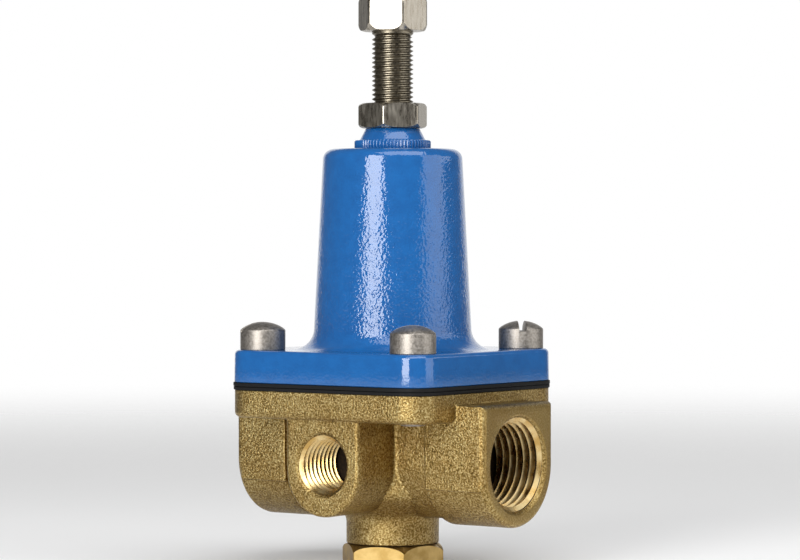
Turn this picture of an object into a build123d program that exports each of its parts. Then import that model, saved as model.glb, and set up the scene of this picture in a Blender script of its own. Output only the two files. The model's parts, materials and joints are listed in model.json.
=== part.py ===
from build123d import *
import os
from math import radians, tan

os.makedirs("parts", exist_ok=True)

# Millimetres. The origin is on the valve axis, at the underside of the bottom plug, +Z up.
# +X is the outlet, -X the inlet, -Y the gauge port.

# ---- heights of the main levels ----
bore_z = 25.0              # axis of the inlet, outlet and gauge ports
neck_bottom_z = 5.8
run_top_z = 38.65
body_flange_z = 34.85      # underside of the brass flange
body_top_z = 41.2          # diaphragm's lower side
bonnet_z = 42.9            # diaphragm's upper side
bonnet_flange_top_z = 50.3
shoulder_z = 96.4          # top of the spring cage
nut_z = 101.1              # top of the threaded bushing
nut_top_z = 107.0
head_z = 123.6             # underside of the adjusting screw's head
total_z = 131.7

# ---- body casting ----
face_x = 35.2              # port faces, 70.4 face to face
outlet_boss_x = 19.0       # inner ends of the port bosses
inlet_boss_x = 20.8
run_half_x = 21.5          # half length of the run, which ends inside the bosses
run_r = 13.9               # round underside of the port bosses
run_axis_z = 24.7
rim_round = 1.3            # rounding round the port faces
pad_z = 19.6               # lower edge of the flats on the bosses' sides
pad_low_half = 13.65
mid_r = 13.0               # run between the bosses and the bowl
bowl_r = 16.8              # lower chamber's bowl
bowl_low_z = 17.2          # where its side turns in towards the neck
bowl_blend = 3.2
neck_r = 10.7
flange_half = 27.7
flange_corner = 6.3
flange_round = 1.3
gauge_half = 10.2
gauge_face_y = 26.9
gauge_low_z = 13.25
gauge_round = 0.8
o_ring_seat_r = 9.7
o_ring_seat_deep = 1.5

# ---- ports: walls at the thread's root radius ----
pipe_r = 10.6              # 1/2 inch taper pipe thread
pipe_depth = 14.5
pipe_mouth_r = 11.25
gauge_r = 6.75             # 1/4 inch taper pipe thread
gauge_depth = 14.0
gauge_mouth_r = 7.4

# ---- inner passages ----
neck_bore_r = 8.0
chamber_r = 8.8            # lower chamber
chamber_low_z = 12.0
partition_z = 21.9         # underside of the wall between the chambers
partition_top_z = 26.9
seat_hole_r = 6.45
upper_r = 8.0              # upper chamber
upper_top_z = 32.5
guide_hole_r = 5.02
cavity_r = 19.0            # diaphragm chamber
cavity_z = 36.6
way_half = 5.0             # half width of the slots from the ports to the chambers
inlet_way_z = (16.2, 20.8)
outlet_way_z = (27.5, 32.0)
sense_x = 14.0             # small hole that brings outlet pressure to the diaphragm
sense_r = 1.1
gauge_way_r = 1.6
gauge_way_z = 28.5

# ---- bolting ----
bolt_half = 21.3           # screws on a 42.6 square
screw_r = 3.1
body_hole_r = 3.15
bonnet_hole_r = 3.4
head_r = 5.175
head_side = 4.6
head_dome = 1.8
slot_wide = 1.7
slot_deep = 3.4
screw_tips = {(1, -1): 34.35, (-1, -1): 35.1, (1, 1): 34.35, (-1, 1): 34.35}
slot_angles = {(1, -1): 36.0, (-1, -1): 52.0, (1, 1): -50.0, (-1, 1): 10.0}

# ---- bonnet ----
bonnet_half = 27.8
bonnet_corner = 6.35
bonnet_draft = 3.0         # degrees
bonnet_base_r = 18.42      # wall radius at the flange's top
bonnet_fillet = 4.8
bonnet_edge = 1.0
shoulder_round = 2.4
cage_wall = 2.6
cup_top_z = 46.5
cage_foot_z = 50.5
cage_top_z = 92.9
bushing_hole_r = 7.0
bushing_foot_z = 92.4
knurl_r = 8.83
knurl_high = 2.0
cone_low_r = 7.6
cone_top_r = 6.15

# ---- adjusting parts ----
screw_major_r = 4.765      # 3/8-24 thread
running = 0.055            # radial clearance of the turning threads
hex_flats = 14.3           # 9/16 inch
head_face_deg = -66.0
nut_face_deg = -39.0
shank_plain = 1.2
shank_plain_r = 5.0
tip_z = 88.1
tip_r = 3.6
tip_bevel = 1.2
nut_gap = 0.1              # above and below the parts that turn against another
button_r = 12.4            # upper spring seat
button_thick = 2.5
button_pilot_r = 9.2
button_pocket_r = 5.4      # where the screw's tip sits

# ---- diaphragm, springs and stem ----
diaphragm_drop = 2.5       # how low the middle hangs with the valve wide open
diaphragm_thick = 1.7
diaphragm_half = 28.0
diaphragm_corner = 6.5
roll_in_r = 14.4
roll_out_r = 18.2
plate_z = bonnet_z - diaphragm_drop
plate_r = 14.0
plate_thick = 1.6
plate_rim = 1.2
plate_rim_r = 13.2
washer_r = 12.0
spring_low_z = plate_z + plate_thick
spring_high_z = 84.0
spring_r = 11.4            # mean coil radius
wire_r = 1.6
spring_turns = 5.0
closing_r = 4.4            # spring under the valve disc
closing_wire_r = 0.4
stem_low_z = 9.3
stem_top_z = 46.5
stem_r = 3.0
stem_end_r = 1.5
stem_hole_r = 1.55
stem_top_r = 2.5
stem_clear = 0.1           # holes over the stem's threaded top
stem_neck_r = 2.2
stem_neck_z = 26.5
stem_flare = 0.8
stem_collar_r = 4.2
stem_nut_flats = 8.0
stem_nut_high = 3.2
guide_low_z = 31.5
guide_top_z = 36.0
shoulder_low_z = 36.7
shoulder_high_z = 37.7
disc_top_z = 16.7
disc_thick = 2.0
disc_r = 5.6
disc_washer_r = 3.3
disc_washer_thick = 0.6
holder_low_z = 12.3
holder_r = 6.3
holder_cup_r = 5.65
holder_drop = 0.7          # holder's rim below the disc's face
disc_nut_flats = 5.5
disc_nut_low_z = 9.9
lip_z = 19.2               # sealing lip; 2.5 above the open disc
lip_high = 0.7
lip_outer_r = 4.8
lip_foot_r = 5.3
ring_bore_r = 4.0
ring_r = 7.6
ring_sink = 0.4            # top of the ring below the wall's upper side
gasket_thick = 0.5
gasket_r = (6.6, 7.5)

# ---- bottom plug ----
plug_flats = 21.2
plug_face_deg = -71.0
plug_hex_z = 5.6
plug_thread_r = 7.95
plug_top_z = 11.6
plug_cut = 1.6             # depth of the bevel on the hexagon's corners
well_r = 5.4
well_z = 3.2
o_ring_z = 6.5
o_ring_r = 8.85
o_ring_wire_r = 0.75


def rod(radius, low, high):
    return Pos(0, 0, low) * extrude(Circle(radius), high - low)


def tube(outer, inner, low, high):
    return rod(outer, low, high) - rod(inner, low - 1, high + 1)


def turned(outline):
    """A solid of revolution about Z from (radius, height) corners."""
    corners = [(radius, 0, height) for radius, height in outline]
    return revolve(make_face(Polyline(*corners, close=True)), Axis.Z)


def slab(half, corner, low, high):
    """A square plate with rounded corners."""
    return Pos(0, 0, low) * extrude(RectangleRounded(2 * half, 2 * half, corner), high - low)


def hex_prism(flats, low, high, face_deg, low_cut=1.0, high_cut=1.0):
    """A hexagon across flats with its corners turned down at each end."""
    bar = Pos(0, 0, low) * extrude(
        RegularPolygon(flats / 2, 6, major_radius=False, rotation=face_deg - 30), high - low
    )
    flat_r = flats / 2 * 0.985
    wide_r = flats * 0.65
    rise = (wide_r - flat_r) * tan(radians(30))
    outline = [
        (0, low), (flat_r, low), (wide_r, low + rise * low_cut),
        (wide_r, high - rise * high_cut), (flat_r, high), (0, high),
    ]
    return bar & turned(outline)


def coil(mean, wire, low, high, turns):
    """A compression spring: closed end coils joined by the active turns."""
    first = low + wire
    last = high - wire
    path = Pos(0, 0, first) * Helix((last - first) / turns, last - first, mean)
    start = path @ 0
    section = Plane(origin=start, z_dir=path % 0) * Circle(wire)
    wound = sweep(section, path=path, is_frenet=True)
    ends = [Pos(0, 0, height) * Torus(mean, wire) for height in (first, last)]
    return wound + ends[0] + ends[1]


def port_boss(boss_x):
    """A port boss from that X outwards: round below, with flats on its sides."""
    profile = Pos(0, run_axis_z) * Circle(run_r)
    upper = Pos(0, (run_axis_z + run_top_z) / 2) * Rectangle(2 * run_r, run_top_z - run_axis_z)
    across = Plane(origin=(boss_x, 0, 0), x_dir=(0, 1, 0), z_dir=(1, 0, 0))
    boss = extrude(across * (profile + upper), face_x - boss_x)
    rim = boss.faces().sort_by(Axis.X)[-1].edges()
    boss = fillet(rim, rim_round)
    flat = across * make_face(Polyline(
        (-run_r, run_top_z), (-pad_low_half, pad_z), (pad_low_half, pad_z), (run_r, run_top_z),
        close=True,
    ))
    return boss + extrude(flat, face_x - boss_x - rim_round)


def run_middle():
    """The run between the bosses, a little narrower than they are."""
    across = Plane(origin=(-run_half_x, 0, 0), x_dir=(0, 1, 0), z_dir=(1, 0, 0))
    lower = Pos(0, bore_z) * Circle(mid_r)
    upper = Pos(0, (bore_z + run_top_z) / 2) * Rectangle(2 * mid_r, run_top_z - bore_z)
    return extrude(across * (lower + upper), 2 * run_half_x)


def gauge_boss():
    """The block of the gauge port, with a half-round underside."""
    across = Plane(origin=(0, 0, 0), x_dir=(1, 0, 0), z_dir=(0, -1, 0))
    axis_z = gauge_low_z + gauge_half
    top = body_flange_z + 2
    lower = Pos(0, axis_z) * Circle(gauge_half)
    upper = Pos(0, (axis_z + top) / 2) * Rectangle(2 * gauge_half, top - axis_z)
    block = extrude(across * (lower + upper), gauge_face_y)
    rim = block.faces().sort_by(Axis.Y)[0].edges()
    return fillet(rim, gauge_round)


def bowl():
    """The round lower chamber and the neck for the bottom plug."""
    shell = turned([
        (0, neck_bottom_z), (neck_r, neck_bottom_z), (neck_r, chamber_low_z),
        (bowl_r, bowl_low_z), (bowl_r, run_top_z), (0, run_top_z),
    ])
    corners = shell.edges().filter_by(GeomType.CIRCLE).sort_by(Axis.Z)
    outer = [edge for edge in corners if neck_bottom_z + 1 < edge.center().Z < run_top_z - 1]
    return fillet(outer, bowl_blend)


def body_flange():
    plate = slab(flange_half, flange_corner, body_flange_z, body_top_z)
    lower = plate.faces().sort_by(Axis.Z)[0].edges()
    return fillet(lower, flange_round)


def pipe_port(depth, wall_r, mouth_r):
    """A port cutter along +X from the origin inwards, with a bevelled mouth."""
    bevel = mouth_r - wall_r
    outline = [(0, 1), (mouth_r + 1, 1), (wall_r, -bevel), (wall_r, -depth), (0, -depth - 2.2)]
    return Rot(0, 90, 0) * turned(outline)


def side_way(low_x, high_x, heights):
    middle = (heights[0] + heights[1]) / 2
    return Pos((low_x + high_x) / 2, 0, middle) * Box(
        high_x - low_x, 2 * way_half, heights[1] - heights[0]
    )


def each_bolt():
    return [(side_x, side_y) for side_x in (-1, 1) for side_y in (-1, 1)]


def bolt_place(corner):
    return Pos(corner[0] * bolt_half, corner[1] * bolt_half, 0)


def valve_body():
    body = run_middle() + port_boss(outlet_boss_x) + mirror(port_boss(inlet_boss_x), Plane.YZ)
    body = body + gauge_boss() + bowl() + body_flange()
    outlet = Pos(face_x, 0, bore_z) * pipe_port(pipe_depth, pipe_r, pipe_mouth_r)
    inlet = Pos(-face_x, 0, bore_z) * Rot(0, 0, 180) * pipe_port(pipe_depth, pipe_r, pipe_mouth_r)
    gauge = Pos(0, -gauge_face_y, bore_z) * Rot(0, 0, -90) * pipe_port(
        gauge_depth, gauge_r, gauge_mouth_r
    )
    well_x = face_x - pipe_depth
    gauge_way = Pos(0, 0, gauge_way_z) * Rot(90, 0, 0) * rod(
        gauge_way_r, upper_r - 1, gauge_face_y - gauge_depth + 1
    )
    o_ring_seat = rod(o_ring_seat_r, neck_bottom_z - 1, neck_bottom_z + o_ring_seat_deep)
    hollows = [
        outlet, inlet, gauge, gauge_way, o_ring_seat,
        rod(neck_bore_r, neck_bottom_z - 1, chamber_low_z),
        rod(chamber_r, chamber_low_z, partition_z),
        rod(seat_hole_r, partition_z, partition_top_z),
        rod(upper_r, partition_top_z, upper_top_z),
        rod(guide_hole_r, upper_top_z, cavity_z),
        rod(cavity_r, cavity_z, body_top_z + 1),
        side_way(-well_x - 0.5, -neck_bore_r + 1, inlet_way_z),
        side_way(upper_r - 1, well_x + 0.5, outlet_way_z),
        Pos(sense_x, 0, 0) * rod(sense_r, outlet_way_z[1] - 1, cavity_z + 1),
    ]
    for hollow in hollows:
        body = body - hollow
    for corner in each_bolt():
        body = body - bolt_place(corner) * rod(body_hole_r, body_flange_z - 1, body_top_z + 1)
    return body


def bonnet():
    slope = tan(radians(bonnet_draft))
    top_r = bonnet_base_r - (shoulder_z - bonnet_flange_top_z) * slope
    cage = turned([
        (0, bonnet_z + 1), (bonnet_base_r, bonnet_z + 1),
        (bonnet_base_r, bonnet_flange_top_z), (top_r, shoulder_z), (0, shoulder_z),
    ])
    top_rim = cage.edges().filter_by(GeomType.CIRCLE).sort_by(Axis.Z)[-1]
    cage = fillet(top_rim, shoulder_round)
    plate = slab(bonnet_half, bonnet_corner, bonnet_z, bonnet_flange_top_z)
    plate = fillet(plate.faces().sort_by(Axis.Z)[-1].edges(), bonnet_edge)
    shell = plate + cage
    foot = [
        edge for edge in shell.edges().filter_by(GeomType.CIRCLE)
        if abs(edge.center().Z - bonnet_flange_top_z) < 0.01 and edge.radius > 15
    ]
    shell = fillet(foot, bonnet_fillet)
    inner_r = bonnet_base_r - cage_wall
    inner_top_r = inner_r - (cage_top_z - cage_foot_z) * slope
    shell = shell - turned([
        (0, bonnet_z - 1), (cavity_r, bonnet_z - 1), (cavity_r, cup_top_z),
        (inner_r, cage_foot_z), (inner_top_r, cage_top_z), (0, cage_top_z),
    ])
    shell = shell - rod(bushing_hole_r, cage_top_z - 1, shoulder_z + 1)
    for corner in each_bolt():
        shell = shell - bolt_place(corner) * rod(
            bonnet_hole_r, bonnet_z - 1, bonnet_flange_top_z + 1
        )
    return shell


def bonnet_bushing():
    """The knurled threaded insert that carries the adjusting screw."""
    collar_z = shoulder_z + knurl_high
    bore_r = screw_major_r + running
    plug_r = bushing_hole_r - 0.03
    return turned([
        (bore_r, bushing_foot_z), (plug_r, bushing_foot_z), (plug_r, shoulder_z),
        (knurl_r, shoulder_z), (knurl_r, collar_z), (cone_low_r, collar_z),
        (cone_top_r, nut_z), (bore_r, nut_z),
    ])


def bonnet_screw(corner):
    """A slotted fillister-head screw with a domed top."""
    side_top = bonnet_flange_top_z + head_side
    shank = rod(screw_r, screw_tips[corner], bonnet_flange_top_z)
    head = rod(head_r, bonnet_flange_top_z, side_top)
    ball_r = (head_r ** 2 + head_dome ** 2) / (2 * head_dome)
    ball = Pos(0, 0, side_top + head_dome - ball_r) * Sphere(ball_r)
    dome = ball & rod(head_r, side_top, side_top + head_dome + 1)
    slot_top = side_top + head_dome + 1
    slot = Pos(0, 0, slot_top - slot_deep / 2) * Box(3 * head_r, slot_wide, slot_deep)
    screw = shank + head + dome - Rot(0, 0, slot_angles[corner]) * slot
    return bolt_place(corner) * screw


def bonnet_screws():
    return Compound(children=[bonnet_screw(corner) for corner in each_bolt()])


def diaphragm():
    """A clamped square sheet whose round middle hangs down with the stem."""
    sheet = slab(diaphragm_half, diaphragm_corner, body_top_z, bonnet_z)
    sheet = sheet - rod(roll_out_r, body_top_z - 1, bonnet_z + 1)
    low = body_top_z - diaphragm_drop
    hole_r = stem_top_r + stem_clear
    middle = turned([
        (hole_r, low), (roll_in_r, low), (roll_out_r, body_top_z), (roll_out_r, bonnet_z),
        (roll_in_r, low + diaphragm_thick), (hole_r, low + diaphragm_thick),
    ])
    sheet = sheet + middle
    for corner in each_bolt():
        sheet = sheet - bolt_place(corner) * rod(bonnet_hole_r, body_top_z - 1, bonnet_z + 1)
    return sheet


def adjusting_screw():
    plain_z = head_z - shank_plain
    thread = turned([
        (0, tip_z), (tip_r, tip_z), (screw_major_r, tip_z + tip_bevel), (screw_major_r, plain_z),
        (shank_plain_r, plain_z), (shank_plain_r, head_z), (0, head_z),
    ])
    return thread + hex_prism(hex_flats, head_z, total_z, head_face_deg)


def lock_nut():
    blank = hex_prism(hex_flats, nut_z + nut_gap, nut_top_z, nut_face_deg)
    return blank - rod(screw_major_r + running, nut_z - 1, nut_top_z + 1)


def upper_spring_seat():
    """A turned button: the screw's tip above, the spring round its pilot below."""
    low_z = spring_high_z - button_thick
    rim_z = spring_high_z + button_thick
    pocket_z = tip_z - nut_gap
    return turned([
        (0, low_z), (button_pilot_r, low_z), (button_pilot_r, spring_high_z),
        (button_r, spring_high_z), (button_r, rim_z), (button_pocket_r, rim_z),
        (button_pocket_r, pocket_z), (0, pocket_z),
    ])


def lower_spring_seat():
    """The plate over the diaphragm, with a low rim that centres the spring."""
    hole_r = stem_top_r + stem_clear
    return turned([
        (hole_r, plate_z), (plate_r, plate_z), (plate_r, spring_low_z + plate_rim),
        (plate_rim_r, spring_low_z + plate_rim), (plate_rim_r, spring_low_z),
        (hole_r, spring_low_z),
    ])


def diaphragm_washer():
    """The plate under the diaphragm, on the stem's collar."""
    return tube(washer_r, stem_top_r + stem_clear, shoulder_high_z, body_top_z - diaphragm_drop)


def stem_nut():
    nut = hex_prism(stem_nut_flats, spring_low_z, spring_low_z + stem_nut_high, 0)
    return nut - rod(stem_top_r + 0.02, spring_low_z - 1, spring_low_z + stem_nut_high + 1)


def stem():
    """The rod that carries the diaphragm stack above and the valve disc below."""
    washer_z = disc_top_z + disc_washer_thick
    return turned([
        (0, stem_low_z), (stem_end_r, stem_low_z), (stem_end_r, washer_z),
        (stem_neck_r, washer_z), (stem_neck_r, stem_neck_z),
        (stem_r, stem_neck_z + stem_flare), (stem_r, shoulder_low_z),
        (stem_collar_r, shoulder_low_z), (stem_collar_r, shoulder_high_z),
        (stem_top_r, shoulder_high_z), (stem_top_r, stem_top_z), (0, stem_top_z),
    ])


def stem_guide():
    return tube(guide_hole_r - 0.02, stem_r + 0.05, guide_low_z, guide_top_z)


def seat_ring():
    """The orifice ring with its raised sealing lip on the underside."""
    face_z = partition_z - gasket_thick
    shank_r = seat_hole_r - 0.05
    top_z = partition_top_z - ring_sink
    return turned([
        (ring_bore_r, lip_z), (lip_outer_r, lip_z), (lip_foot_r, lip_z + lip_high),
        (ring_r, lip_z + lip_high), (ring_r, face_z), (shank_r, face_z), (shank_r, top_z),
        (ring_bore_r, top_z),
    ])


def seat_gasket():
    return tube(gasket_r[1], gasket_r[0], partition_z - gasket_thick, partition_z)


def seat_disc():
    return tube(disc_r, stem_hole_r, disc_top_z - disc_thick, disc_top_z)


def disc_washer():
    return tube(disc_washer_r, stem_hole_r, disc_top_z, disc_top_z + disc_washer_thick)


def disc_holder():
    """The cup that carries the disc."""
    floor_z = disc_top_z - disc_thick
    rim_z = disc_top_z - holder_drop
    return turned([
        (stem_hole_r, holder_low_z), (holder_r, holder_low_z), (holder_r, rim_z),
        (holder_cup_r, rim_z), (holder_cup_r, floor_z), (stem_hole_r, floor_z),
    ])


def disc_nut():
    nut = hex_prism(disc_nut_flats, disc_nut_low_z, holder_low_z, 15)
    return nut - rod(stem_end_r + 0.02, disc_nut_low_z - 1, holder_low_z + 1)


def bottom_plug():
    shank = tube(plug_thread_r, well_r, plug_hex_z - 1, plug_top_z)
    head = hex_prism(plug_flats, 0, plug_hex_z, plug_face_deg, plug_cut, plug_cut)
    return head + shank - rod(well_r, well_z, plug_top_z + 1)


def plug_o_ring():
    return Pos(0, 0, o_ring_z) * Torus(o_ring_r, o_ring_wire_r)


def write_parts():
    makers = [
        valve_body, bonnet, bonnet_bushing, bonnet_screws, diaphragm, adjusting_screw, lock_nut,
        upper_spring_seat, lower_spring_seat, diaphragm_washer, stem_nut, stem, stem_guide,
        seat_ring, seat_gasket, seat_disc, disc_washer, disc_holder, disc_nut, bottom_plug,
        plug_o_ring,
    ]
    for maker in makers:
        export_step(maker(), f"parts/{maker.__name__}.step")
    range_spring = coil(spring_r, wire_r, spring_low_z, spring_high_z, spring_turns)
    closing_spring = coil(closing_r, closing_wire_r, well_z, holder_low_z, spring_turns)
    export_step(range_spring, "parts/adjusting_spring.step")
    export_step(closing_spring, "parts/disc_spring.step")


write_parts()
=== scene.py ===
import bpy
import bmesh
import json
from math import acos, atan2, cos, hypot, pi, radians, sin, sqrt, tan
from mathutils import Matrix, Vector, noise


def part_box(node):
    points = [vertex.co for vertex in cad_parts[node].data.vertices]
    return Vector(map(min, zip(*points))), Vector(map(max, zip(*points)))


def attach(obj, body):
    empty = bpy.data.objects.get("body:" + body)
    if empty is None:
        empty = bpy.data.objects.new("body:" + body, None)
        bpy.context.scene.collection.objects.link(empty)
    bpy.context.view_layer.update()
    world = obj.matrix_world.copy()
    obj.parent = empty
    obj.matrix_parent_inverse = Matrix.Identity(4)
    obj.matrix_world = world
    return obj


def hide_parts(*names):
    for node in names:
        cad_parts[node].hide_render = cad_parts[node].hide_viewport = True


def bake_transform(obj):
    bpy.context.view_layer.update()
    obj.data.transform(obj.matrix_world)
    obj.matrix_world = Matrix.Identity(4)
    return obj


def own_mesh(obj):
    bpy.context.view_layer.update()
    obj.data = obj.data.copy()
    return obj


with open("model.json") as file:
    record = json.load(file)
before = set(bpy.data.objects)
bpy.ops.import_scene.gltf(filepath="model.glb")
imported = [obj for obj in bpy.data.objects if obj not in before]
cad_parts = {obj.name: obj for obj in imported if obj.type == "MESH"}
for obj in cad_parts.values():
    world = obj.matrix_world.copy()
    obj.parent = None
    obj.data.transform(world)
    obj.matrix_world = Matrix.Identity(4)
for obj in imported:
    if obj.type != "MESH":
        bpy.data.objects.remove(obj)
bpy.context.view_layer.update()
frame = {"nodes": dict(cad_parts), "record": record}
nodes = frame["nodes"]
mounts = {mount["name"]: mount for mount in frame["record"]["mounts"]}
mm = 0.001               # outlines are in millimetres, and makeObject turns them into metres
print("frame loaded:", len(nodes), "nodes")


def span(node):
    # a node's lowest and highest corners at rest, in millimetres
    low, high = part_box(node)
    return [v / mm for v in low], [v / mm for v in high]


bodyHigh = span("valve_body")[1]
bonnetLow, bonnetHigh = span("bonnet")


# points are (x, y) or (x, y, radius), and a corner with a radius becomes an arc
def roundCorners(points, closed=False, steps=4):
    made = []
    count = len(points)
    for i, point in enumerate(points):
        radius = point[2] if len(point) > 2 else 0
        here = Vector(point[:2])
        if radius == 0 or (not closed and i in (0, count - 1)):
            made.append(tuple(here))
            continue
        back = (Vector(points[i - 1][:2]) - here).normalized()
        ahead = (Vector(points[(i + 1) % count][:2]) - here).normalized()
        half = acos(max(-1, min(1, back.dot(ahead)))) / 2
        reach = radius / tan(half)
        middle = here + (back + ahead).normalized() * (radius / sin(half))
        start = here + back * reach - middle
        end = here + ahead * reach - middle
        turn = atan2(start.x * end.y - start.y * end.x, start.dot(end))
        for k in range(steps + 1):
            spoke = Matrix.Rotation(turn * k / steps, 2) @ start
            made.append(tuple(middle + spoke))
    return made


def evenAngles(count, turn=0.0):
    return [turn + 2 * pi * k / count for k in range(count)]


def circlePoints(radius, angles):
    return [(radius * cos(a), radius * sin(a)) for a in angles]


def squarePoints(half, corner, angles):
    # a rounded square, met along each direction from its centre
    made = []
    core = half - corner
    for a in angles:
        c, s = abs(cos(a)), abs(sin(a))
        reach = half / max(c, s)
        if reach * c > core and reach * s > core:    # in the corner's arc
            along = (c + s) * core
            reach = along + sqrt(max(0, along ** 2 - 2 * core ** 2 + corner ** 2))
        x, y = reach * c, reach * s
        made.append((x if cos(a) >= 0 else -x, y if sin(a) >= 0 else -y))
    return made


def ringAt(points, height):
    return [Vector((x, y, height)) for x, y in points]


def turnedRings(outline, angles):
    # one ring about Z for each (radius, height) of the outline
    return [ringAt(circlePoints(radius, angles), height) for radius, height in outline]


def skin(bm, rings, closeLong=False):
    # joins rings of equally many points; the ends are capped unless the last ring meets the first
    rows = [[bm.verts.new(p) for p in ring] for ring in rings]
    count = len(rows[0])
    pairs = list(zip(rows, rows[1:]))
    if closeLong:
        pairs.append((rows[-1], rows[0]))
    for low, high in pairs:
        for k in range(count):
            n = (k + 1) % count
            bm.faces.new((low[k], low[n], high[n], high[k]))
    if not closeLong:
        bm.faces.new(rows[0])
        bm.faces.new(rows[-1])


def makeObject(name, bm, sharpDeg=35):
    # shaded smooth, with edges sharper than sharpDeg kept crisp
    bmesh.ops.remove_doubles(bm, verts=bm.verts, dist=1e-4)
    bmesh.ops.recalc_face_normals(bm, faces=bm.faces)
    for face in bm.faces:
        face.smooth = True
    for edge in bm.edges:
        if len(edge.link_faces) == 2 and edge.calc_face_angle(0) > radians(sharpDeg):
            edge.smooth = False
    bmesh.ops.scale(bm, vec=(mm, mm, mm), verts=bm.verts)
    mesh = bpy.data.meshes.new(name)
    bm.to_mesh(mesh)
    bm.free()
    made = bpy.data.objects.new(name, mesh)
    bpy.context.scene.collection.objects.link(made)
    return made


def modified(piece, *modifiers):
    # adds modifiers, each (kind, settings), and applies them all to the mesh
    for kind, settings in modifiers:
        modifier = piece.modifiers.new(kind, kind)
        for key, value in settings.items():
            setattr(modifier, key, value)
    bpy.context.view_layer.update()
    graph = bpy.context.evaluated_depsgraph_get()
    mesh = bpy.data.meshes.new_from_object(piece.evaluated_get(graph))
    piece.modifiers.clear()
    piece.data = mesh


def threadRidge(bm, place, sizes, length):
    # a closed helical ridge that starts at place and runs up its Z, with ends that fade into the root
    steps, pitch = sizes["turnSteps"], sizes["pitch"]
    depth = sizes["crestR"] - sizes["rootR"]
    sunkShare, leastSize = 0.06, 0.02    # a little is sunk in the wall, and the ends never shrink to nothing
    base = sizes["rootR"] - depth * sunkShare
    fadeSteps = sizes["fade"] * steps
    wide, narrow = (1 - sizes["rootFlat"]) * pitch / 2, sizes["crestFlat"] * pitch / 2
    total = int(length / pitch * steps)
    sections = []
    for k in range(total + 1):
        turn = 2 * pi * k / steps
        height = pitch * k / steps
        size = max(leastSize, min(1, k / fadeSteps, (total - k) / fadeSteps))
        tip = sizes["rootR"] + (depth + sizes["taper"] * (height - length)) * size
        sections.append([
            place @ Vector((radius * cos(turn), radius * sin(turn), height + shift * size))
            for radius, shift in ((base, -wide), (tip, -narrow), (tip, narrow), (base, wide))
        ])
    skin(bm, sections)


def finishPiece(piece, body, material, replaced=()):
    piece.data.materials.clear()
    piece.data.materials.append(material)
    if body:    # a piece that sits between two bodies is given neither
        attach(piece, body)
    if replaced:
        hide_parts(*replaced)
    return piece


def linearColour(hexCode):
    parts = [int(hexCode[k:k + 2], 16) / 255 for k in (1, 3, 5)]
    return tuple(c / 12.92 if c <= 0.04045 else ((c + 0.055) / 1.055) ** 2.4 for c in parts) + (1.0,)


def addNode(tree, kind, values=None, links=None, stops=(), **settings):
    node = tree.nodes.new("ShaderNode" + kind)
    for key, value in settings.items():
        setattr(node, key, value)
    for socket, value in (values or {}).items():
        node.inputs[socket].default_value = value
    for socket, source in (links or {}).items():
        tree.links.new(source, node.inputs[socket])
    if stops:    # a colour ramp's positions and colours
        elements = node.color_ramp.elements
        while len(elements) < len(stops):
            elements.new(0.5)
        for element, (position, colour) in zip(elements, stops):
            element.position, element.color = position, colour
    return node


def newMaterial(name, shaderValues):
    material = bpy.data.materials.new(name)
    material.use_nodes = True
    tree = material.node_tree
    shader = tree.nodes["Principled BSDF"]
    for socket, value in shaderValues.items():
        shader.inputs[socket].default_value = value
    place = addNode(tree, "TexCoord").outputs["Object"]
    return material, tree, shader, place


def linkShader(tree, shader, links):
    for socket, source in links.items():
        tree.links.new(source, shader.inputs[socket])


def perMm(size):
    # a pattern's scale for features of that size in millimetres
    return 1 / (size * mm)


noiseReach = (0.3, 0.7)    # nearly all of a noise pattern lies between these


castBrassLook = {
    "dark": "#624D28", "middle": "#9C834E", "light": "#D0BD88", "toneStops": (0.34, 0.5, 0.68),
    "stain": "#C8B088", "stainShare": 0.35, "stainStops": (0.35, 0.65),
    "grain": 0.4, "pit": 1.1, "pitShare": 0.35, "cloud": 8.0,    # sizes of sand grains, pits and stains in mm
    "depth": 0.2, "roughness": (0.3, 0.44),
    "faceX": (34.9, 35.15), "faceShare": 0.45,    # the machined port faces show less of the grain
}


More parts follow.
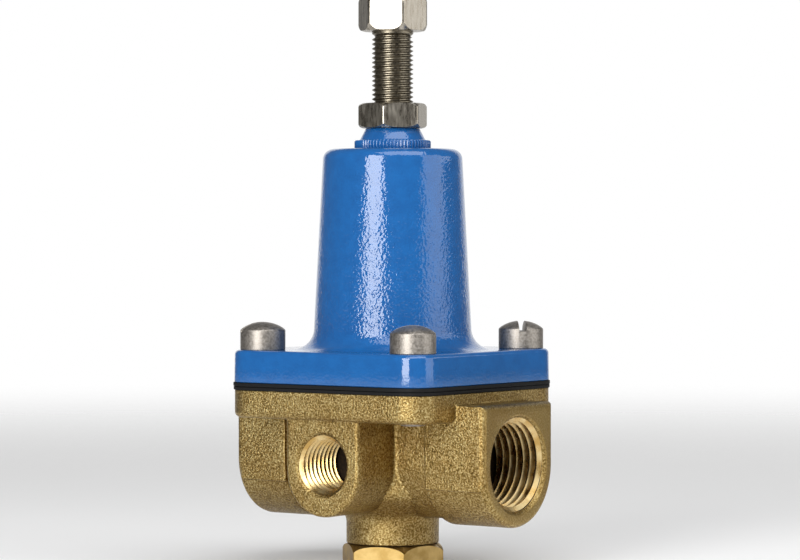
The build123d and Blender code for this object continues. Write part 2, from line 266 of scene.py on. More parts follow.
def makeCastBrass():
    # sand-cast brass: dull gold skin with fine glittering grain, smoother on the port faces
    look = castBrassLook
    material, tree, shader, place = newMaterial("sandCastBrass", {"Metallic": 1.0})
    grain = addNode(tree, "TexNoise", {"Scale": perMm(look["grain"]), "Detail": 3.0, "Roughness": 0.6},
                    {"Vector": place}).outputs["Fac"]
    pit = addNode(tree, "TexNoise", {"Scale": perMm(look["pit"]), "Detail": 2.0, "Roughness": 0.5},
                  {"Vector": place}).outputs["Fac"]
    cloud = addNode(tree, "TexNoise", {"Scale": perMm(look["cloud"]), "Detail": 2.0},
                    {"Vector": place}).outputs["Fac"]
    across = addNode(tree, "SeparateXYZ", links={"Vector": place}).outputs["X"]
    reach = addNode(tree, "Math", links={0: across}, operation="ABSOLUTE").outputs[0]
    share = addNode(tree, "MapRange", {
        "From Min": look["faceX"][0] * mm, "From Max": look["faceX"][1] * mm,
        "To Min": 1.0, "To Max": look["faceShare"],
    }, {"Value": reach}).outputs[0]
    height = addNode(tree, "Math", {1: look["pitShare"]}, {0: pit, 2: grain},
                     operation="MULTIPLY_ADD").outputs[0]
    bump = addNode(tree, "Bump", {"Distance": look["depth"] * mm}, {"Height": height, "Strength": share})
    tones = [linearColour(look[tone]) for tone in ("dark", "middle", "light")]
    tint = addNode(tree, "ValToRGB", links={"Fac": grain}, stops=list(zip(look["toneStops"], tones)))
    even = addNode(tree, "Mix", {"A": tones[1]}, {"Factor": share, "B": tint.outputs["Color"]},
                   data_type="RGBA")
    stains = zip(look["stainStops"], [linearColour(look["stain"]), linearColour("#FFFFFF")])
    stain = addNode(tree, "ValToRGB", links={"Fac": cloud}, stops=list(stains))
    mixed = addNode(tree, "Mix", {"Factor": look["stainShare"]},
                    {"A": even.outputs["Result"], "B": stain.outputs["Color"]},
                    data_type="RGBA", blend_type="MULTIPLY")
    rough = addNode(tree, "MapRange", {
        "From Min": noiseReach[0], "From Max": noiseReach[1],
        "To Min": look["roughness"][0], "To Max": look["roughness"][1],
    }, {"Value": pit})
    linkShader(tree, shader, {"Base Color": mixed.outputs["Result"], "Roughness": rough.outputs[0],
                              "Normal": bump.outputs["Normal"]})
    return material


enamelLook = {
    "base": "#175998", "shade": "#155390", "toneStops": (0.3, 0.7), "roughness": 0.5, "specular": 0.04,
    "coatRoughness": 0.05, "coatIor": 1.6,
    "peel": 0.62, "sag": 2.4, "sagShare": 0.5, "depth": 0.16,    # sizes of orange peel and paint runs in mm
    # height between two levels in metres, and how strongly the peel shows there
    "lowZ": 0.04, "highZ": 0.1, "peelStops": [(0.16, 0.22), (0.25, 1.0), (0.6, 0.8), (0.9, 0.3)],
}


def makeEnamel():
    # stoved enamel over a casting: deep glossy blue with orange peel that breaks up the highlights
    look = enamelLook
    material, tree, shader, place = newMaterial("stovedEnamel", {
        "Roughness": look["roughness"], "Specular IOR Level": look["specular"], "Coat Weight": 1.0,
        "Coat Roughness": look["coatRoughness"], "Coat IOR": look["coatIor"],
    })
    peel = addNode(tree, "TexNoise", {"Scale": perMm(look["peel"]), "Detail": 1.0, "Roughness": 0.4},
                   {"Vector": place}).outputs["Fac"]
    sag = addNode(tree, "TexNoise", {"Scale": perMm(look["sag"]), "Detail": 1.0},
                  {"Vector": place}).outputs["Fac"]
    height = addNode(tree, "Math", {1: look["sagShare"]}, {0: sag, 2: peel},
                     operation="MULTIPLY_ADD").outputs[0]
    # the paint has run thicker above the foot, and lies thin on the flange and at the top
    level = addNode(tree, "SeparateXYZ", links={"Vector": place}).outputs["Z"]
    share = addNode(tree, "MapRange", {"From Min": look["lowZ"], "From Max": look["highZ"]}, {"Value": level})
    strength = addNode(tree, "ValToRGB", links={"Fac": share.outputs[0]},
                       stops=[(position, (amount,) * 3 + (1,)) for position, amount in look["peelStops"]])
    bump = addNode(tree, "Bump", {"Distance": look["depth"] * mm},
                   {"Height": height, "Strength": strength.outputs["Color"]})
    tones = zip(look["toneStops"], [linearColour(look["shade"]), linearColour(look["base"])])
    tint = addNode(tree, "ValToRGB", links={"Fac": sag}, stops=list(tones))
    linkShader(tree, shader, {"Base Color": tint.outputs["Color"], "Normal": bump.outputs["Normal"],
                              "Coat Normal": bump.outputs["Normal"]})
    return material


# what the simpler finishes share: two tones and a roughness that follow a smear, with bumps from finer marks
# (smear, mark and depth are in millimetres)
plainLook = {"metallic": 1.0, "specular": 0.5, "toneStops": (0.35, 0.65), "smearDetail": 3.0,
             "smearRoughness": 0.5, "stretch": 1.0, "markDetail": 3.0, "bump": 0.8, "depth": 0.01}
finishLooks = {
    # freshly tapped brass: bright yellow crests, with tool marks drawn coarser than real so that they show
    "tappedBrass": {"dark": "#C09C5C", "light": "#E6CE98", "roughness": (0.2, 0.36), "smear": 3.5,
                    "mark": 0.22, "markDetail": 2.0, "bump": 0.6, "depth": 0.012},
    # brass hexagon bar: duller and rougher, handled and slightly tarnished
    "brassBar": {"dark": "#9C804A", "light": "#C4A86E", "roughness": (0.34, 0.54), "smear": 3.0,
                 "mark": 0.22, "markDetail": 2.0, "bump": 0.6, "depth": 0.02},
    # thread roots and hole ends: painted shade, a dark brown for the shadow in the deep grooves and at the
    # hole's end
    "paintedRootShade": {"metallic": 0.6, "dark": "#1E150B", "light": "#382812", "roughness": (0.4, 0.6),
                      "smear": 0.7, "mark": 0.7},
    # nickel-plated steel: warm grey, softly reflecting, with upright handling marks
    "platedSteel": {"dark": "#827A6D", "light": "#B9B2A5", "toneStops": (0.3, 0.62), "roughness": (0.2, 0.42),
                    "smear": 0.9, "smearDetail": 4.0, "smearRoughness": 0.6, "stretch": 0.22,
                    "mark": 0.9, "bump": 0.7, "depth": 0.015},
    # oiled thread: the same steel, darker and browner in its grooves
    "oiledThreadSteel": {"dark": "#6E675A", "light": "#8F8776", "roughness": (0.26, 0.42),
                         "smear": 0.6, "mark": 0.6},
    # zinc-plated screw heads: pale grey and satin, without sharp reflections
    "zincPlatedSteel": {"dark": "#87817A", "light": "#A8A29A", "roughness": (0.4, 0.56),
                        "smear": 0.5, "mark": 0.5, "depth": 0.02},
    # nitrile rubber: nearly black, matt, with a soft grey bloom
    "nitrileRubber": {"metallic": 0.0, "specular": 0.25, "dark": "#040404", "light": "#0B0B0C",
                      "roughness": (0.55, 0.75), "smear": 0.8, "mark": 0.8, "depth": 0.03},
    # oil-tempered spring wire: dark grey with drawing marks
    "oilTemperedWire": {"dark": "#3C3A38", "light": "#5A5753", "roughness": (0.3, 0.45),
                        "smear": 0.5, "mark": 0.5},
    # turned acetal: off-white, faintly waxy
    "turnedAcetal": {"metallic": 0.0, "dark": "#D8D4C8", "light": "#E6E2D6", "roughness": (0.35, 0.45),
                     "smear": 0.6, "mark": 0.6},
}


def makeFinish(name):
    look = {**plainLook, **finishLooks[name]}
    material, tree, shader, place = newMaterial(name, {
        "Metallic": look["metallic"], "Specular IOR Level": look["specular"],
    })
    along = addNode(tree, "Mapping", {"Scale": (1.0, 1.0, look["stretch"])}, {"Vector": place})
    smear = addNode(tree, "TexNoise", {
        "Scale": perMm(look["smear"]), "Detail": look["smearDetail"], "Roughness": look["smearRoughness"],
    }, {"Vector": along.outputs["Vector"]}).outputs["Fac"]
    mark = addNode(tree, "TexNoise", {"Scale": perMm(look["mark"]), "Detail": look["markDetail"]},
                   {"Vector": place}).outputs["Fac"]
    bump = addNode(tree, "Bump", {"Strength": look["bump"], "Distance": look["depth"] * mm}, {"Height": mark})
    tones = zip(look["toneStops"], [linearColour(look["dark"]), linearColour(look["light"])])
    tint = addNode(tree, "ValToRGB", links={"Fac": smear}, stops=list(tones))
    rough = addNode(tree, "MapRange", {
        "From Min": noiseReach[0], "From Max": noiseReach[1],
        "To Min": look["roughness"][0], "To Max": look["roughness"][1],
    }, {"Value": smear})
    linkShader(tree, shader, {"Base Color": tint.outputs["Color"], "Roughness": rough.outputs[0],
                              "Normal": bump.outputs["Normal"]})
    return material


castBrass = makeCastBrass()
enamel = makeEnamel()
finishes = {name: makeFinish(name) for name in finishLooks}
steel, rubber, barBrass = (finishes[name] for name in ("platedSteel", "nitrileRubber", "brassBar"))
print("materials made")


castingSizes = {
    "voxel": 0.2, "quickVoxel": 0.5, "soften": 2, "faces": 190000,
    "wave": 2.6, "waveDepth": 0.045, "waveIn": 0.02, "machined": 0.4,
}


def buildCasting():
    # the body with its sharp edges softened and a faintly uneven skin
    sizes = castingSizes
    piece = bpy.data.objects.new("bodyCasting", nodes["valve_body"].data.copy())
    bpy.context.scene.collection.objects.link(piece)
    voxel = sizes["voxel"]
    modified(piece, ("REMESH", {"mode": "VOXEL", "voxel_size": voxel * mm, "use_smooth_shade": True}),
             ("SMOOTH", {"factor": 0.5, "iterations": sizes["soften"]}))
    # the port faces and the top face are machined, so they stay true
    mesh = piece.data
    faceX, topZ = (bodyHigh[0] - sizes["machined"]) * mm, (bodyHigh[2] - sizes["machined"]) * mm
    spots = [vertex.co.copy() for vertex in mesh.vertices]
    outward = [normal.vector.copy() for normal in mesh.vertex_normals]
    flat = []
    for spot, normal in zip(spots, outward):
        if abs(spot.x) < faceX and spot.z < topZ:
            wave = noise.noise(spot / (sizes["wave"] * mm))
            spot = spot + normal * (wave * sizes["waveDepth"] - sizes["waveIn"]) * mm
        flat.extend(spot)
    mesh.vertices.foreach_set("co", flat)
    mesh.update()
    triangles = 2 * len(mesh.polygons)
    if triangles > sizes["faces"]:
        modified(piece, ("DECIMATE", {"ratio": sizes["faces"] / triangles}))
    for face in piece.data.polygons:
        face.use_smooth = True
    finishPiece(piece, "housing", castBrass, ["valve_body"])
    print("casting:", len(piece.data.vertices), "vertices")


buildCasting()


threadShape = {
    "rootFlat": 0.1, "crestFlat": 0.12,    # shares of the pitch
    "fade": 0.3, "turnSteps": 96,          # the ends fade over that share of a turn
    "taper": 1 / 32,                       # a taper thread loses this much radius per length
}
pipeThread = {
    **threadShape, "rootR": 10.6, "crestR": 9.55, "mouthR": 11.3, "pitch": 1.814, "deep": 13.6,
    "face": bodyHigh[0], "bevelFinish": barBrass,
}
gaugeThread = {
    **threadShape, "rootR": 6.75, "crestR": 5.95, "mouthR": 7.3, "pitch": 1.411, "deep": 13.8,
    "face": 26.9, "bevelFinish": castBrass,
}
ports = {
    # thread, mount, and the turn that takes Z to the port's direction
    "outlet": (pipeThread, "outlet", Matrix.Rotation(radians(90), 4, "Y")),
    "inlet": (pipeThread, "inlet", Matrix.Rotation(radians(-90), 4, "Y")),
    "gauge": (gaugeThread, "gauge_port", Matrix.Rotation(radians(90), 4, "X")),
}
liningSizes = {
    "lip": 1.0, "lipDeep": 1.2, "sunk": 0.06, "edge": 0.1, "edgeDrop": 0.02, "bevelPast": 0.12,
    "proud": 0.05, "back": 0.4, "backFrom": 1.6, "round": 0.05, "columns": 120,
    # where the ridge starts and stops, from the hole's end and from the bevel
    "firstTurn": 0.6, "lastTurn": 0.15,
    # the hole's end
    "floorIn": 0.8, "floorUp": 0.2, "floorRim": 0.35, "floorDown": 0.1, "centreR": 0.3,
    # where the painted shade of the thread roots starts past the bevel, and where the bevel's finish ends
    "darkPast": 0.2, "darkWall": 0.16, "darkFloor": 0.3, "bevelEnd": 0.1,
}


def buildPort(name):
    # the machined mouth and the helical thread of one port, as one lining
    thread, mountName, turn = ports[name]
    mount, sizes = mounts[mountName], liningSizes
    face = Vector(mount["axis"]) * thread["face"] + Vector((0, 0, mount["pos_m"][2] / mm))
    place = Matrix.Translation(face) @ turn
    root, crest, mouth, deep = (thread[key] for key in ("rootR", "crestR", "mouthR", "deep"))
    bevel = mouth - root
    # the lining's back is sunk in the casting, so that only its mouth and wall show
    lining = roundCorners([
        (mouth + sizes["lip"], -sizes["lipDeep"]), (mouth + sizes["lip"], -sizes["sunk"]),
        (mouth + sizes["edge"], -sizes["edgeDrop"], sizes["round"]),
        (root - sizes["proud"], -bevel - sizes["bevelPast"], sizes["round"]), (root - sizes["proud"], -deep),
        (root + sizes["back"], -deep), (root + sizes["back"], -sizes["backFrom"]),
    ])
    # the drill's end closes the hole past the last turn
    end = [(sizes["centreR"], sizes["floorUp"] - deep), (crest - sizes["floorIn"], sizes["floorUp"] - deep),
           (root, sizes["floorRim"] - deep), (root, -sizes["floorDown"] - deep),
           (sizes["centreR"], -sizes["floorDown"] - deep)]
    bm = bmesh.new()
    angles = evenAngles(sizes["columns"])
    skin(bm, [[place @ p for p in ring] for ring in turnedRings(lining, angles)], closeLong=True)
    start = place @ Matrix.Translation((0, 0, sizes["firstTurn"] - deep))
    threadRidge(bm, start, thread, deep - bevel - sizes["firstTurn"] - sizes["lastTurn"])
    skin(bm, [[place @ p for p in ring] for ring in turnedRings(end, angles)])
    piece = makeObject(name + "Thread", bm, sharpDeg=28)
    finishPiece(piece, "housing", finishes["tappedBrass"])
    # the second finish is the painted shade of the deep thread roots and the hole's end
    piece.data.materials.append(finishes["paintedRootShade"])
    piece.data.materials.append(thread["bevelFinish"])
    back = place.inverted()
    for polygon in piece.data.polygons:
        spot = back @ (polygon.center / mm)
        radius = hypot(spot.x, spot.y)
        deepWall = radius > root - sizes["darkWall"] or spot.z < sizes["darkFloor"] - deep
        # the deep grooves and the hole's end take the painted shade
        if spot.z < -bevel - sizes["darkPast"] and deepWall:
            polygon.material_index = 1
        elif spot.z > -bevel - sizes["bevelEnd"] and radius > root:
            polygon.material_index = 2


for portName in ports:
    buildPort(portName)
print("ports threaded")


# draft is in degrees
bonnetSizes = {
    "half": 27.8, "corner": 6.35, "leastCorner": 1.0, "edge": 1.1, "lowEdge": 0.35, "lean": 0.12,
    "underIn": 6.0, "topIn": 3.4,
    "flangeTop": 50.3, "draft": 3.0, "baseR": 18.42, "fillet": 4.8, "footOut": 0.7, "shoulder": 2.4,
    "wall": 2.6, "cupR": 19.0, "cupTop": 46.5, "foot": 50.5, "cageTop": 92.9, "holeR": 7.0,
    "columns": 192, "wallRows": 24, "longRun": 20.0,
}


def buildBonnet():
    sizes = bonnetSizes
    angles = evenAngles(sizes["columns"], pi / sizes["columns"])
    low, top, flangeTop = bonnetLow[2], bonnetHigh[2], sizes["flangeTop"]
    half, baseR = sizes["half"], sizes["baseR"]
    slope = tan(radians(sizes["draft"]))
    # outside of the flange: a soft lower edge, a slight draft and a rounded upper edge
    rings = []
    for reach, height in roundCorners([
        (half - sizes["underIn"], low), (half, low, sizes["lowEdge"]),
        (half - sizes["lean"], flangeTop, sizes["edge"]), (half - sizes["topIn"], flangeTop),
    ], steps=5):
        corner = max(sizes["leastCorner"], sizes["corner"] - (half - reach))
        rings.append(ringAt(squarePoints(reach, corner, angles), height))
    # from the flat top through the foot fillet, up the drafted wall and over the shoulder
    outside = roundCorners([
        (baseR + sizes["fillet"] + sizes["footOut"], flangeTop), (baseR, flangeTop, sizes["fillet"]),
        (baseR - (top - flangeTop) * slope, top, sizes["shoulder"]), (sizes["holeR"], top),
    ], steps=10)
    wall = []
    for (r0, z0), (r1, z1) in zip(outside, outside[1:]):
        rows = sizes["wallRows"] if z1 - z0 > sizes["longRun"] else 1
        wall += [(r0 + (r1 - r0) * k / rows, z0 + (z1 - z0) * k / rows) for k in range(rows)]
    wall.append(outside[-1])
    innerR = baseR - sizes["wall"]
    inside = [
        (sizes["holeR"], sizes["cageTop"]),
        (innerR - (sizes["cageTop"] - sizes["foot"]) * slope, sizes["cageTop"]),
        (innerR, sizes["foot"]), (sizes["cupR"], sizes["cupTop"]), (sizes["cupR"], low),
    ]
    bm = bmesh.new()
    skin(bm, rings + turnedRings(wall + inside, angles), closeLong=True)
    finishPiece(makeObject("bonnetShell", bm, sharpDeg=40), "housing", enamel, ["bonnet"])


buildBonnet()

bushingSizes = {
    "shankR": 6.97, "holeR": 4.82, "collar": 2.0, "crestR": 8.83, "bevel": 0.25,
    "teeth": 64, "tooth": (0.0, 0.35, 1.0, 0.35), "depth": 0.3, "endShare": 0.2,    # the knurl
    "coneR": (8.2, 7.65, 6.25), "blend": 0.5, "rim": 0.2,
}


def buildBushing():
    # the knurled collar and its cone, painted over with the bonnet
    sizes = bushingSizes
    bushLow, bushHigh = span("bonnet_bushing")
    low, top = bonnetHigh[2], bushHigh[2]
    collar = low + sizes["collar"]
    tooth, crest, bevel, hole = (sizes[key] for key in ("tooth", "crestR", "bevel", "holeR"))
    angles = evenAngles(sizes["teeth"] * len(tooth))
    rings = turnedRings([(hole, bushLow[2]), (sizes["shankR"], bushLow[2]), (sizes["shankR"], low)], angles)
    for radius, height, amount in ((crest - bevel, low, sizes["endShare"]), (crest, low + bevel, 1),
                                   (crest, collar - bevel, 1), (crest - bevel, collar, sizes["endShare"])):
        points = []
        for k, a in enumerate(angles):
            reach = radius - sizes["depth"] * amount * tooth[k % len(tooth)]
            points.append((reach * cos(a), reach * sin(a)))
        rings.append(ringAt(points, height))
    wide, middle, narrow = sizes["coneR"]
    cone = roundCorners([(wide, collar), (middle, collar, sizes["blend"]), (narrow, top, sizes["rim"]),
                         (hole, top)])
    bm = bmesh.new()
    skin(bm, rings + turnedRings(cone, angles), closeLong=True)
    piece = makeObject("knurledBushing", bm, sharpDeg=50)
    finishPiece(piece, "housing", enamel, ["bonnet_bushing"])


buildBushing()
print("bonnet and bushing made")


hexSizes = {"sideRows": 20, "cornerSteps": 5, "faceShare": 0.975, "leastDrop": 0.06,
            "rimIn": 0.35, "rimDrop": 0.04, "holeRim": 0.5, "centreR": 0.3}


def hexOutline(flats, faceDeg, cornerRound):
    reach = flats / 2 / cos(radians(30))
    corners = circlePoints(reach, [radians(faceDeg + 30 + 60 * k) for k in range(6)])
    rounded = roundCorners([(x, y, cornerRound) for x, y in corners], closed=True,
                           steps=hexSizes["cornerSteps"])
    made = []
    for k, (x, y) in enumerate(rounded):
        nx, ny = rounded[(k + 1) % len(rounded)]
        rows = hexSizes["sideRows"] if hypot(nx - x, ny - y) > 1 else 1
        made += [(x + (nx - x) * j / rows, y + (ny - y) * j / rows) for j in range(rows)]
    return made


def hexRings(sizes, low, high, holeR=0.0):
    # a hexagon whose corners are turned down by cut, with that share of each side left straight
    flats, straight = sizes["flats"], sizes["straight"]
    outline = hexOutline(flats, sizes["faceDeg"], sizes["cornerRound"])
    angles = [atan2(y, x) for x, y in outline]
    halfSide = flats / 2 * tan(radians(30))
    drops = []
    for x, y in outline:
        along = sqrt(max(0, x * x + y * y - flats * flats / 4)) / halfSide
        bend = max(0, along - straight) / (1 - straight)
        drops.append(hexSizes["leastDrop"] + sizes["cut"] * (1 - sqrt(max(0, 1 - bend * bend))))
    faceR, rim = flats / 2 * hexSizes["faceShare"], hexSizes["rimDrop"]
    lower = [(max(holeR, hexSizes["centreR"]), low)]
    if holeR:
        lower.append((holeR + hexSizes["holeRim"], low))
    lower += [(faceR - hexSizes["rimIn"], low), (faceR, low + rim)]
    upper = [(radius, high + low - height) for radius, height in reversed(lower)]
    sides = [[Vector((x, y, low + rim + drop)) for (x, y), drop in zip(outline, drops)],
             [Vector((x, y, high - rim - drop)) for (x, y), drop in zip(outline, drops)]]
    return turnedRings(lower, angles) + sides + turnedRings(upper, angles), angles


adjusterSizes = {
    "flats": 14.3, "faceDeg": -66.0, "cut": 2.8, "straight": 0.3, "cornerRound": 1.0, "headLow": 123.6,
    "crestR": 4.765, "rootR": 4.14, "pitch": 1.058, "rootFlat": 0.2, "crestFlat": 0.14, "fade": 0.5,
    "turnSteps": 72, "taper": 0.0, "firstTurn": 1.2, "lastTurn": 0.2,
    "plain": 0.9, "runOut": (0.2, 0.3), "tipR": 3.6, "tipRound": 0.3, "lead": 0.8, "centreR": 0.3,
    "sunk": 0.05, "oiledBelow": 0.2, "columns": 72,
}


def buildAdjuster():
    sizes = adjusterSizes
    screwLow, screwHigh = span("adjusting_screw")
    tip, headLow, root, crest = screwLow[2], sizes["headLow"], sizes["rootR"], sizes["crestR"]
    neck = headLow - sizes["plain"]
    core = roundCorners([
        (sizes["centreR"], tip), (sizes["tipR"], tip, sizes["tipRound"]), (root, tip + sizes["lead"]),
        (root, neck - sizes["runOut"][0]), (crest, neck + sizes["runOut"][1]),
        (crest, headLow + sizes["sunk"]), (sizes["centreR"], headLow + sizes["sunk"]),
    ])
    bm = bmesh.new()
    skin(bm, hexRings(sizes, headLow, screwHigh[2])[0])
    skin(bm, turnedRings(core, evenAngles(sizes["columns"])))
    threadRidge(bm, Matrix.Translation((0, 0, tip + sizes["firstTurn"])), sizes,
                neck - tip - sizes["firstTurn"] - sizes["lastTurn"])
    piece = makeObject("adjustingScrew", bm, sharpDeg=28)
    finishPiece(piece, "adjuster", steel, ["adjusting_screw"])
    piece.data.materials.append(finishes["oiledThreadSteel"])
    for face in piece.data.polygons:    # everything below the head is oiled
        face.material_index = 1 if face.center.z < (headLow - sizes["oiledBelow"]) * mm else 0


buildAdjuster()

nutSizes = {"flats": 14.3, "faceDeg": -39.0, "cut": 1.2, "straight": 0.1, "cornerRound": 0.7,
            "holeR": 4.82, "sinkR": 5.4}


def buildLockNut():
    sizes = nutSizes
    nutLow, nutHigh = span("lock_nut")
    low, high, sink = nutLow[2], nutHigh[2], sizes["sinkR"] - sizes["holeR"]
    rings, angles = hexRings(sizes, low, high, sizes["sinkR"])
    bm = bmesh.new()
    bore = turnedRings([(sizes["holeR"], high - sink), (sizes["holeR"], low + sink)], angles)
    skin(bm, rings + bore, closeLong=True)
    finishPiece(makeObject("lockNut", bm, sharpDeg=28), "nut", steel, ["lock_nut"])


buildLockNut()

plugSizes = {"flats": 21.2, "faceDeg": -71.0, "cut": 1.9, "straight": 0.0, "cornerRound": 0.5, "hexTop": 5.6,
             "threadR": 7.95, "gap": 0.2, "bevel": 0.6, "wellR": 5.4, "wellZ": 3.2, "faceR": 4.0,
             "centreR": 0.3}


def buildPlug():
    sizes = plugSizes
    plugLow, plugHigh = span("bottom_plug")
    low, top, shankR = plugLow[2], plugHigh[2], sizes["threadR"]
    rings, angles = hexRings(sizes, low, sizes["hexTop"], shankR + sizes["gap"])
    under = turnedRings([(sizes["centreR"], low), (sizes["faceR"], low)], angles)
    shank = [(shankR, sizes["hexTop"]), (shankR, top - sizes["bevel"]), (shankR - sizes["bevel"], top),
             (sizes["wellR"], top), (sizes["wellR"], sizes["wellZ"]), (sizes["centreR"], sizes["wellZ"])]
    bm = bmesh.new()
    # the hexagon's own hole rings give way to the closed underside and the shank
    skin(bm, under + rings[2:-2] + turnedRings(shank, angles))
    piece = makeObject("plugHexagon", bm, sharpDeg=28)
    finishPiece(piece, "housing", barBrass, ["bottom_plug"])


buildPlug()
print("hexagons made")


coverScrewSizes = {
    "place": 21.3, "headR": 5.175, "seat": 50.3, "side": 4.6, "dome": 1.8, "domeRows": 8, "shankR": 3.1,
    "tipBevel": 0.5, "underIn": 0.1, "underEdge": 0.12, "rimDrop": 0.25, "rimIn": 0.08, "rimTop": 0.02,
    "centreR": 0.05, "columns": 72, "shortTip": (-1, -1), "shorter": 0.75,
    "slotWide": 1.7, "slotDeep": 2.4, "slotEdge": 0.09,
    "slotTurns": {(1, -1): 36.0, (-1, -1): 52.0, (1, 1): -50.0, (-1, 1): 10.0},
}


def buildCoverScrew(side):
    sizes = coverScrewSizes
    seat, headR, shankR, centreR = (sizes[key] for key in ("seat", "headR", "shankR", "centreR"))
    sideTop = seat + sizes["side"]
    top = sideTop + sizes["dome"]
    ballR = (headR ** 2 + sizes["dome"] ** 2) / (2 * sizes["dome"])
    middle = top - ballR
    tip = span("bonnet_screws")[0][2] + (sizes["shorter"] if side == sizes["shortTip"] else 0)
    outline = [
        (centreR, tip), (shankR - sizes["tipBevel"], tip), (shankR, tip + sizes["tipBevel"]),
        (shankR, seat), (headR - sizes["underIn"], seat), (headR, seat + sizes["underEdge"]),
        (headR, sideTop - sizes["rimDrop"]), (headR - sizes["rimIn"], sideTop - sizes["rimTop"]),
    ]
    rows = sizes["domeRows"]
    lean = acos((sideTop - middle) / ballR)
    outline += [(ballR * sin(lean * k / rows), middle + ballR * cos(lean * k / rows))
                for k in range(rows - 1, 0, -1)]
    outline.append((centreR, top))
    bm = bmesh.new()
    skin(bm, turnedRings(outline, evenAngles(sizes["columns"])))
    name = "coverScrew" + ("Right" if side[0] > 0 else "Left") + ("Back" if side[1] > 0 else "Front")
    piece = makeObject(name, bm, sharpDeg=30)
    cutter = bmesh.new()
    bmesh.ops.create_cube(cutter, size=1)
    bmesh.ops.scale(cutter, vec=(3 * headR, sizes["slotWide"], 2 * sizes["slotDeep"]), verts=cutter.verts)
    bmesh.ops.translate(cutter, vec=(0, 0, top), verts=cutter.verts)
    bmesh.ops.rotate(cutter, matrix=Matrix.Rotation(radians(sizes["slotTurns"][side]), 3, "Z"),
                     cent=(0, 0, 0), verts=cutter.verts)
    tool = makeObject("slotTool", cutter)
    modified(piece, ("BOOLEAN", {"operation": "DIFFERENCE", "object": tool, "solver": "EXACT"}),
             ("BEVEL", {"width": sizes["slotEdge"] * mm, "segments": 2, "limit_method": "ANGLE",
                        "angle_limit": radians(25), "harden_normals": False}))
    bpy.data.objects.remove(tool)
    place = sizes["place"] * mm
    piece.data.transform(Matrix.Translation((side[0] * place, side[1] * place, 0)))
    return finishPiece(piece, "housing", finishes["zincPlatedSteel"])


coverScrews = [buildCoverScrew((x, y)) for x in (-1, 1) for y in (-1, 1)]
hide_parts("bonnet_screws")
print("cover screws made")


diaphragmSizes = {
    "corner": 6.5, "leastCorner": 1.5, "layer": 0.8, "layerIn": (0.1, 0.05), "groove": 0.28,
    "grooveHalf": 0.1, "edge": 0.15, "flatIn": 5.0, "drop": 2.5, "rollIn": 14.4, "rollOut": 18.2,
    "hole": 2.6, "blendPast": 0.05, "columns": 192,
}


def buildDiaphragm():
    # two layers show at the edge; the middle hangs below, and in the valve it rises with the stem, but here
    # it is built at rest
    sizes = diaphragmSizes
    angles = evenAngles(sizes["columns"], pi / sizes["columns"])
    sheetHigh = span("diaphragm")[1]
    low, high, half = bodyHigh[2], sheetHigh[2], sheetHigh[0]
    thick, split, groove = high - low, low + sizes["layer"], sizes["grooveHalf"]
    lowIn, highIn = sizes["layerIn"]    # the lower layer leans in by this much at its two edges
    rings = []
    for reach, height in roundCorners([
        (half - sizes["flatIn"], low), (half - lowIn, low, sizes["edge"]),
        (half - highIn, split - groove, groove), (half - sizes["groove"], split),
        (half, split + groove, groove), (half, high, sizes["edge"]), (half - sizes["flatIn"], high),
    ], steps=3):
        corner = max(sizes["leastCorner"], sizes["corner"] - (half - reach))
        rings.append(ringAt(squarePoints(reach, corner, angles), height))
    hang = low - sizes["drop"]
    middle = [
        (sizes["rollOut"], high), (sizes["rollIn"], hang + thick), (sizes["hole"], hang + thick),
        (sizes["hole"], hang), (sizes["rollIn"], hang), (sizes["rollOut"], low),
    ]
    bm = bmesh.new()
    skin(bm, rings + turnedRings(middle, angles), closeLong=True)
    piece = makeObject("diaphragmSheet", bm, sharpDeg=40)
    finishPiece(piece, None, rubber, ["diaphragm"])
    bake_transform(piece)


buildDiaphragm()


rangeSizes = {"meanR": 11.4, "wireR": 1.6, "turns": 5.0, "turnSteps": 48, "wireSides": 12, "keep": 0.66}
closingSizes = {"meanR": 4.4, "wireR": 0.4, "turns": 5.0, "turnSteps": 48, "wireSides": 12}


def buildSpring(name, node, body, sizes):
    # a coil with closed ends, made from its lower end ring up; it returns its foot and top as well
    low, high = span(node)
    wireR, turns, steps = sizes["wireR"], sizes["turns"], sizes["turnSteps"]
    first, last = low[2] + wireR, high[2] - wireR
    sections = []
    for k in range(int((turns + 2) * steps) + 1):
        turn = 2 * pi * k / steps
        travel = min(max((k / steps - 1) / turns, 0), 1)
        height = first + (last - first) * travel
        out = Vector((cos(turn), sin(turn), 0))
        sections.append([out * (sizes["meanR"] + x) + Vector((0, 0, height + z))
                         for x, z in circlePoints(wireR, evenAngles(sizes["wireSides"]))])
    bm = bmesh.new()
    skin(bm, sections)
    piece = makeObject(name, bm, sharpDeg=60)
    finishPiece(piece, body, finishes["oilTemperedWire"], [node])
    return piece, (0, 0, low[2] * mm), (0, 0, high[2] * mm)


# the range spring rides on the housing with its own mesh; in the valve it shortens as the screw drives its
# upper seat down, but here it is built at rest
rangeSpring, rangeFoot = buildSpring("rangeSpring", "adjusting_spring", "housing", rangeSizes)[:2]
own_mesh(rangeSpring)
# the closing spring stands in the plug and rides on no body; in the valve it lengthens as the stem rises, but
# here it is built at rest
closingSpring, closingFoot, closingTop = buildSpring("closingSpring", "disc_spring", None, closingSizes)
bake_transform(closingSpring)
print("diaphragm and springs made")


# the other inner parts keep their CAD shapes
innerFinishes = {
    "upper_spring_seat": steel, "lower_spring_seat": steel, "diaphragm_washer": barBrass,
    "stem_nut": steel, "stem": steel, "stem_guide": finishes["turnedAcetal"], "seat_ring": steel,
    "seat_gasket": rubber, "seat_disc": rubber, "disc_washer": steel, "disc_holder": barBrass,
    "disc_nut": steel, "plug_o_ring": rubber,
}
for nodeName, finish in innerFinishes.items():
    nodes[nodeName].data.materials.clear()
    nodes[nodeName].data.materials.append(finish)
print("inner parts finished:", len(innerFinishes))


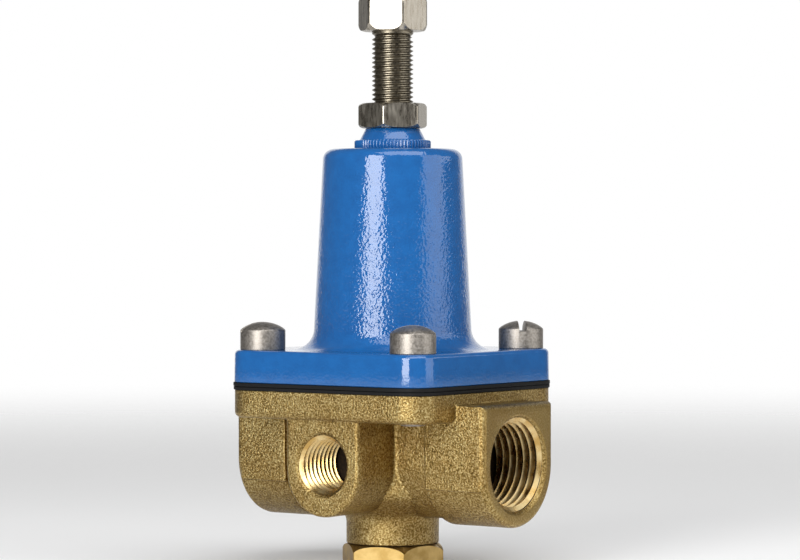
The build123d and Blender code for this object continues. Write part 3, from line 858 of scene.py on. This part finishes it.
stageSizes = {"half": 1.6, "drop": 0.0005, "fadeFrom": 0.1, "fadeTo": 0.9}    # metres
floorLook = {"colour": "#FAFAFA", "roughness": 0.75}
# the brightness of the room in front and of the backdrop, and the backdrop's direction and spread in degrees
worldLook = {"colour": "#FFFFFF", "front": 0.14, "back": 1.0, "turn": 122.0, "inner": 26.0, "outer": 40.0}


def buildFloor():
    # plain pale paint that fades into the white backdrop further out
    sizes = stageSizes
    half, level = sizes["half"] / mm, -sizes["drop"] / mm
    bm = bmesh.new()
    bm.faces.new([bm.verts.new((x * half, y * half, level)) for x, y in ((-1, -1), (1, -1), (1, 1), (-1, 1))])
    floor = makeObject("paleFloor", bm)
    floorPaint, tree, shader, place = newMaterial("paleFloorPaint", {
        "Base Color": linearColour(floorLook["colour"]), "Roughness": floorLook["roughness"],
    })
    reach = addNode(tree, "VectorMath", links={0: place}, operation="LENGTH").outputs["Value"]
    solid = addNode(tree, "MapRange", {
        "From Min": sizes["fadeFrom"], "From Max": sizes["fadeTo"], "To Min": 1.0, "To Max": 0.0,
    }, {"Value": reach}, interpolation_type="SMOOTHSTEP")
    linkShader(tree, shader, {"Alpha": solid.outputs[0]})
    floor.data.materials.append(floorPaint)


def buildWorld():
    # a dim room in front and a bright white backdrop behind and to the right
    look = worldLook
    world = bpy.data.worlds.new("studio")
    world.use_nodes = True
    tree = world.node_tree
    background = tree.nodes["Background"]
    background.inputs["Color"].default_value = linearColour(look["colour"])
    ray = addNode(tree, "TexCoord").outputs["Generated"]
    a = radians(look["turn"])
    facing = addNode(tree, "VectorMath", {1: (cos(a), sin(a), 0)}, {0: ray}, operation="DOT_PRODUCT")
    bright = addNode(tree, "MapRange", {
        "From Min": cos(radians(look["outer"])), "From Max": cos(radians(look["inner"])),
        "To Min": look["front"], "To Max": look["back"],
    }, {"Value": facing.outputs["Value"]}, interpolation_type="SMOOTHSTEP")
    # the room's dimness shows only in reflections: the backdrop itself is pale all round
    seen = addNode(tree, "LightPath").outputs["Is Camera Ray"]
    shown = addNode(tree, "Mix", {"B": look["back"]}, {"Factor": seen, "A": bright.outputs[0]},
                    data_type="FLOAT")
    linkShader(tree, background, {"Strength": shown.outputs["Result"]})
    bpy.context.scene.world = world


lampAim = Vector((0, 0, 0.07))
lampSizes = {
    # degrees about Z, degrees above the horizon, distance, width, height, watts
    "key": (-83, 12, 0.75, 0.35, 0.6, 5.6),
    "side": (16, 12, 0.8, 0.56, 0.6, 1.7),
    "top": (-30, 58, 0.9, 1.0, 0.7, 7.0),
    "card": (43, 16.7, 0.26, 0.1, 0.045, 0.025),
}


def buildLamps():
    for name, (turn, rise, away, wide, tall, watts) in lampSizes.items():
        lamp = bpy.data.lights.new(name + "Softbox", "AREA")
        lamp.shape = "RECTANGLE"
        lamp.size, lamp.size_y = wide, tall
        lamp.energy = watts
        holder = bpy.data.objects.new(name + "Softbox", lamp)
        bpy.context.scene.collection.objects.link(holder)
        a, e = radians(turn), radians(rise)
        out = Vector((cos(a) * cos(e), sin(a) * cos(e), sin(e)))
        holder.location = lampAim + out * away
        holder.rotation_mode = "QUATERNION"
        holder.rotation_quaternion = (-out).to_track_quat("-Z", "Y")


# level camera with a long lens, a little above the object's middle; degrees, metres, lens and sensor in mm
cameraSizes = {"turn": 36.3, "away": 0.739, "height": 0.0782, "side": 0.00169, "lens": 144.0,
               "sensor": 36.0, "shiftY": -0.065, "near": 0.05, "far": 20}


def buildCamera():
    sizes = cameraSizes
    a = radians(sizes["turn"])
    data = bpy.data.cameras.new("camera")
    data.lens, data.sensor_width = sizes["lens"], sizes["sensor"]
    data.shift_y = sizes["shiftY"]
    data.clip_start, data.clip_end = sizes["near"], sizes["far"]
    camera = bpy.data.objects.new("camera", data)
    bpy.context.scene.collection.objects.link(camera)
    back = Vector((sin(a), -cos(a), 0))
    right = Vector((cos(a), sin(a), 0))
    camera.location = back * sizes["away"] + right * sizes["side"] + Vector((0, 0, sizes["height"]))
    camera.rotation_mode = "QUATERNION"
    camera.rotation_quaternion = (-back).to_track_quat("-Z", "Y")
    bpy.context.scene.camera = camera


buildFloor()
buildWorld()
buildLamps()
buildCamera()
bpy.context.scene.view_settings.view_transform = "Standard"
print("stage ready")
